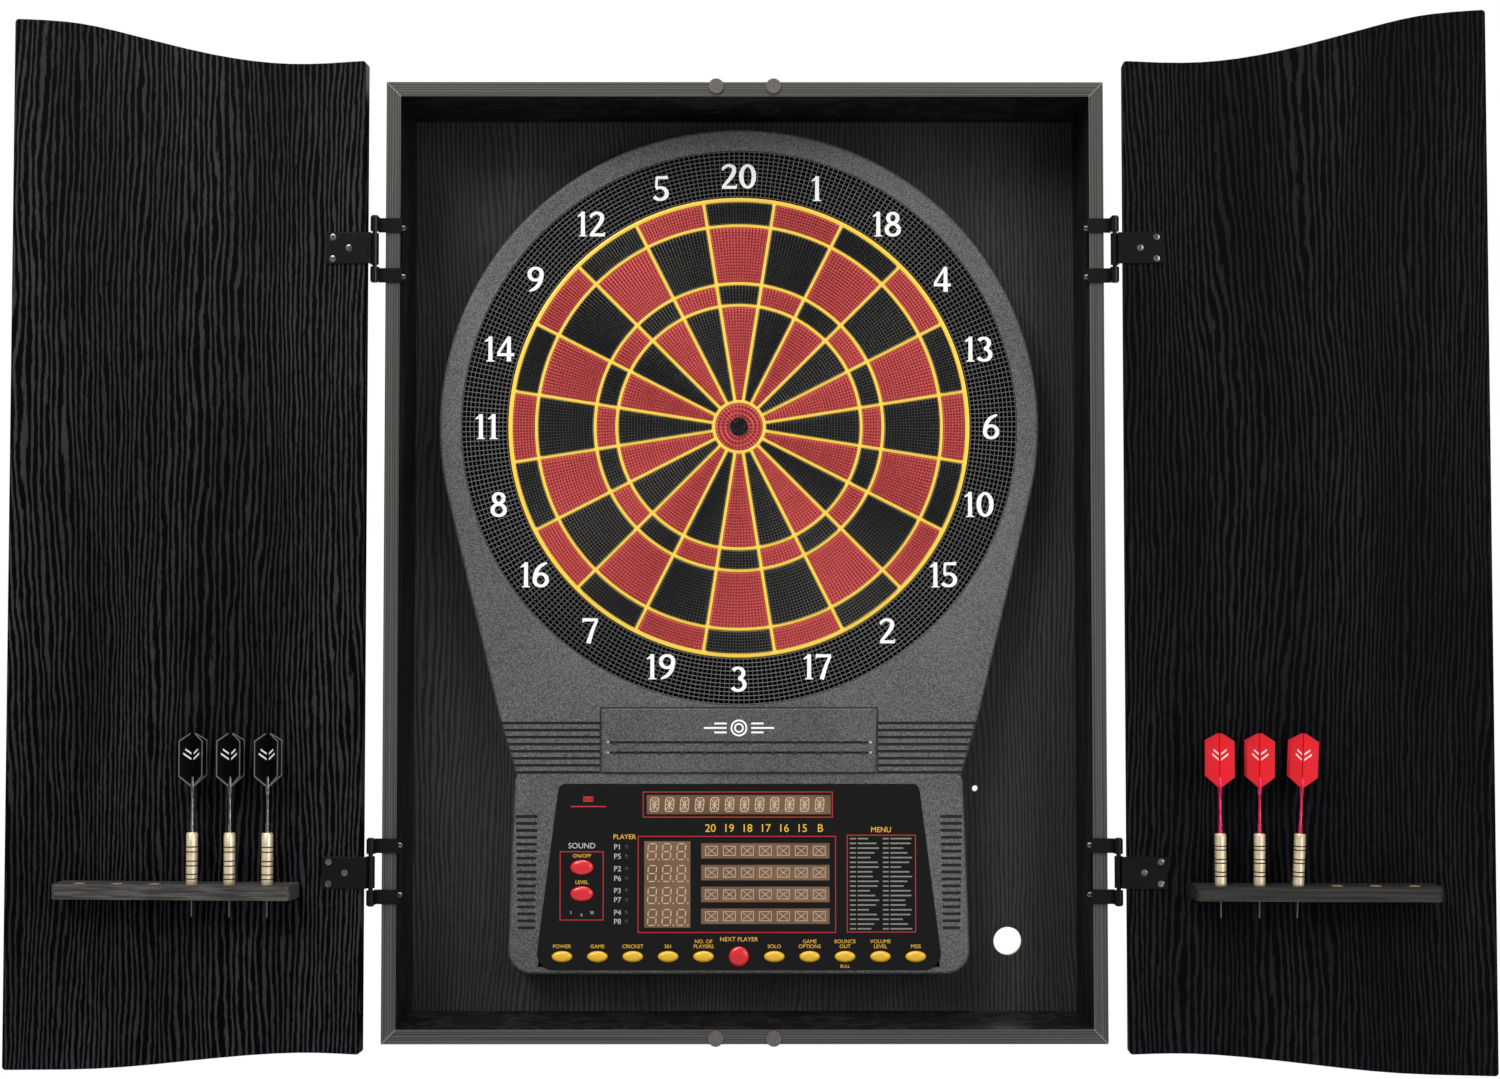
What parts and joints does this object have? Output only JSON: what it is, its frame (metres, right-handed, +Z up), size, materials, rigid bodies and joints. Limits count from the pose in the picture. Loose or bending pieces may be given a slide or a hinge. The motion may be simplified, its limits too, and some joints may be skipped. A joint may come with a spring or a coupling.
{
  "type": "dart board cabinet",
  "caption": "Wall cabinet holding an electronic dart board, with curved doors on hinges, dart shelves inside the doors and soft-tip darts standing in them.",
  "frame": {"origin": "middle of the cabinet's back, on the wall", "axes": "+Z up, +X to the viewer's right along the open doors, +Y into the wall"},
  "size_m": [1.2287, 0.1627, 0.8775],
  "materials": {
    "cabinet_board": "black foil with a fine printed grain over fibreboard, satin",
    "back_board": "black foil with a vertical printed grain over fibreboard",
    "door_board": "near black foil with a charcoal vertical grain, satin",
    "shelf_board": "charcoal foil with lengthwise lines; tan fibreboard in the holes",
    "felt": "grey felt discs",
    "black_steel": "black enamel",
    "steel_screw": "zinc plated",
    "grey_plastic": "fine textured moulding",
    "black_plastic": "moulded, satin",
    "gloss_black": "polished",
    "sensor_film": "printed film on foam",
    "display_window": "amber tinted window",
    "circuit": "glass fibre laminate with solder mask",
    "red_plastic": "perforated moulding, satin",
    "segment_black": "perforated moulding, satin",
    "yellow_plastic": "moulded, satin",
    "yellow_button": "moulded, smooth",
    "red_button": "moulded, smooth",
    "white_ink": "raised white figures and print",
    "dart_brass": "turned and knurled",
    "red_flight": "thin film",
    "black_flight": "thin film with a pale edge"
  },
  "bodies": {
    "cabinet": {"top_panel": "cabinet_board", "bottom_panel": "cabinet_board", "left_side_panel": "cabinet_board", "right_side_panel": "cabinet_board", "back_panel": "back_board", "door_bumpers": "felt", "left_hinge_brackets": "black_steel", "right_hinge_brackets": "black_steel", "hinge_pins": "black_steel", "cabinet_hinge_screws": "black_steel", "board_bezel": "grey_plastic", "board_rear_cover": "black_plastic", "rear_cover_screws": "steel_screw", "board_hanging_screws": "steel_screw", "catch_ring": "gloss_black", "segment_divider": "yellow_plastic", "sensor_matrix": "sensor_film", "nameplate": "grey_plastic", "control_overlay": "gloss_black", "display_module": "display_window", "circuit_board": "circuit", "speaker": "black_steel", "power_jack": "black_plastic"},
    "left_door": {"left_door_panel": "door_board", "left_door_leaves": "black_steel", "left_door_screws": "black_steel", "left_dart_shelf": "shelf_board"},
    "right_door": {"right_door_panel": "door_board", "right_door_leaves": "black_steel", "right_door_screws": "black_steel", "right_dart_shelf": "shelf_board"},
    "red_dart_1": {"red_dart_1_barrel": "dart_brass", "red_dart_1_flight": "red_flight"},
    "red_dart_2": {"red_dart_2_barrel": "dart_brass", "red_dart_2_flight": "red_flight"},
    "red_dart_3": {"red_dart_3_barrel": "dart_brass", "red_dart_3_flight": "red_flight"},
    "black_dart_1": {"black_dart_1_barrel": "dart_brass", "black_dart_1_flight": "black_flight"},
    "black_dart_2": {"black_dart_2_barrel": "dart_brass", "black_dart_2_flight": "black_flight"},
    "black_dart_3": {"black_dart_3_barrel": "dart_brass", "black_dart_3_flight": "black_flight"},
    "red_segments_body": {"red_segments": "red_plastic"},
    "black_segments_body": {"black_segments": "segment_black"},
    "outer_bull_body": {"outer_bull": "red_plastic"},
    "inner_bull_body": {"inner_bull": "segment_black"},
    "power_button_body": {"power_button": "yellow_button"},
    "game_button_body": {"game_button": "yellow_button"},
    "cricket_button_body": {"cricket_button": "yellow_button"},
    "double_in_button_body": {"double_in_button": "yellow_button"},
    "players_button_body": {"players_button": "yellow_button"},
    "next_player_button_body": {"next_player_button": "red_button"},
    "solo_play_button_body": {"solo_play_button": "yellow_button"},
    "options_button_body": {"options_button": "yellow_button"},
    "bounce_out_button_body": {"bounce_out_button": "yellow_button"},
    "volume_button_body": {"volume_button": "yellow_button"},
    "miss_button_body": {"miss_button": "yellow_button"},
    "sound_on_button_body": {"sound_on_button": "red_button"},
    "sound_level_button_body": {"sound_level_button": "red_button"}
  },
  "joints": [
    {"name": "left_door_hinge", "type": "hinge", "parent": "cabinet", "child": "left_door", "pos_m": [-0.308, -0.116, 0], "axis": [0, 0, 1], "range_deg": [-1, 184]},
    {"name": "right_door_hinge", "type": "hinge", "parent": "cabinet", "child": "right_door", "pos_m": [0.308, -0.116, 0], "axis": [0, 0, -1], "range_deg": [-7, 178]},
    {"name": "red_dart_1_lift", "type": "slide", "parent": "right_door", "child": "red_dart_1", "axis": [0, 0, 1], "range_m": [0, 0.06]},
    {"name": "red_dart_2_lift", "type": "slide", "parent": "right_door", "child": "red_dart_2", "axis": [0.0105, -0.0004, 0.9999], "range_m": [0, 0.06]},
    {"name": "red_dart_3_lift", "type": "slide", "parent": "right_door", "child": "red_dart_3", "axis": [0.0453, -0.0016, 0.999], "range_m": [0, 0.06]},
    {"name": "black_dart_1_lift", "type": "slide", "parent": "left_door", "child": "black_dart_1", "axis": [0, 0, 1], "range_m": [0, 0.06]},
    {"name": "black_dart_2_lift", "type": "slide", "parent": "left_door", "child": "black_dart_2", "axis": [0, 0, 1], "range_m": [0, 0.06]},
    {"name": "black_dart_3_lift", "type": "slide", "parent": "left_door", "child": "black_dart_3", "axis": [0, 0, 1], "range_m": [0, 0.06]},
    {"name": "red_segments_press", "type": "slide", "parent": "cabinet", "child": "red_segments_body", "axis": [0, 1, 0], "range_m": [0, 0.001], "stiffness_N_per_m": 3000},
    {"name": "black_segments_press", "type": "slide", "parent": "cabinet", "child": "black_segments_body", "axis": [0, 1, 0], "range_m": [0, 0.001], "stiffness_N_per_m": 3000},
    {"name": "outer_bull_press", "type": "slide", "parent": "cabinet", "child": "outer_bull_body", "axis": [0, 1, 0], "range_m": [0, 0.001], "stiffness_N_per_m": 800},
    {"name": "inner_bull_press", "type": "slide", "parent": "cabinet", "child": "inner_bull_body", "axis": [0, 1, 0], "range_m": [0, 0.001], "stiffness_N_per_m": 800},
    {"name": "power_press", "type": "slide", "parent": "cabinet", "child": "power_button_body", "axis": [0, 1, 0], "range_m": [0, 0.0012], "stiffness_N_per_m": 400},
    {"name": "game_press", "type": "slide", "parent": "cabinet", "child": "game_button_body", "axis": [0, 1, 0], "range_m": [0, 0.0012], "stiffness_N_per_m": 400},
    {"name": "cricket_press", "type": "slide", "parent": "cabinet", "child": "cricket_button_body", "axis": [0, 1, 0], "range_m": [0, 0.0012], "stiffness_N_per_m": 400},
    {"name": "double_in_press", "type": "slide", "parent": "cabinet", "child": "double_in_button_body", "axis": [0, 1, 0], "range_m": [0, 0.0012], "stiffness_N_per_m": 400},
    {"name": "players_press", "type": "slide", "parent": "cabinet", "child": "players_button_body", "axis": [0, 1, 0], "range_m": [0, 0.0012], "stiffness_N_per_m": 400},
    {"name": "next_player_press", "type": "slide", "parent": "cabinet", "child": "next_player_button_body", "axis": [0, 1, 0], "range_m": [0, 0.0012], "stiffness_N_per_m": 400},
    {"name": "solo_play_press", "type": "slide", "parent": "cabinet", "child": "solo_play_button_body", "axis": [0, 1, 0], "range_m": [0, 0.0012], "stiffness_N_per_m": 400},
    {"name": "options_press", "type": "slide", "parent": "cabinet", "child": "options_button_body", "axis": [0, 1, 0], "range_m": [0, 0.0012], "stiffness_N_per_m": 400},
    {"name": "bounce_out_press", "type": "slide", "parent": "cabinet", "child": "bounce_out_button_body", "axis": [0, 1, 0], "range_m": [0, 0.0012], "stiffness_N_per_m": 400},
    {"name": "volume_press", "type": "slide", "parent": "cabinet", "child": "volume_button_body", "axis": [0, 1, 0], "range_m": [0, 0.0012], "stiffness_N_per_m": 400},
    {"name": "miss_press", "type": "slide", "parent": "cabinet", "child": "miss_button_body", "axis": [0, 1, 0], "range_m": [0, 0.0012], "stiffness_N_per_m": 400},
    {"name": "sound_on_press", "type": "slide", "parent": "cabinet", "child": "sound_on_button_body", "axis": [0, 1, 0], "range_m": [0, 0.0012], "stiffness_N_per_m": 400},
    {"name": "sound_level_press", "type": "slide", "parent": "cabinet", "child": "sound_level_button_body", "axis": [0, 1, 0], "range_m": [0, 0.0012], "stiffness_N_per_m": 400}
  ]
}
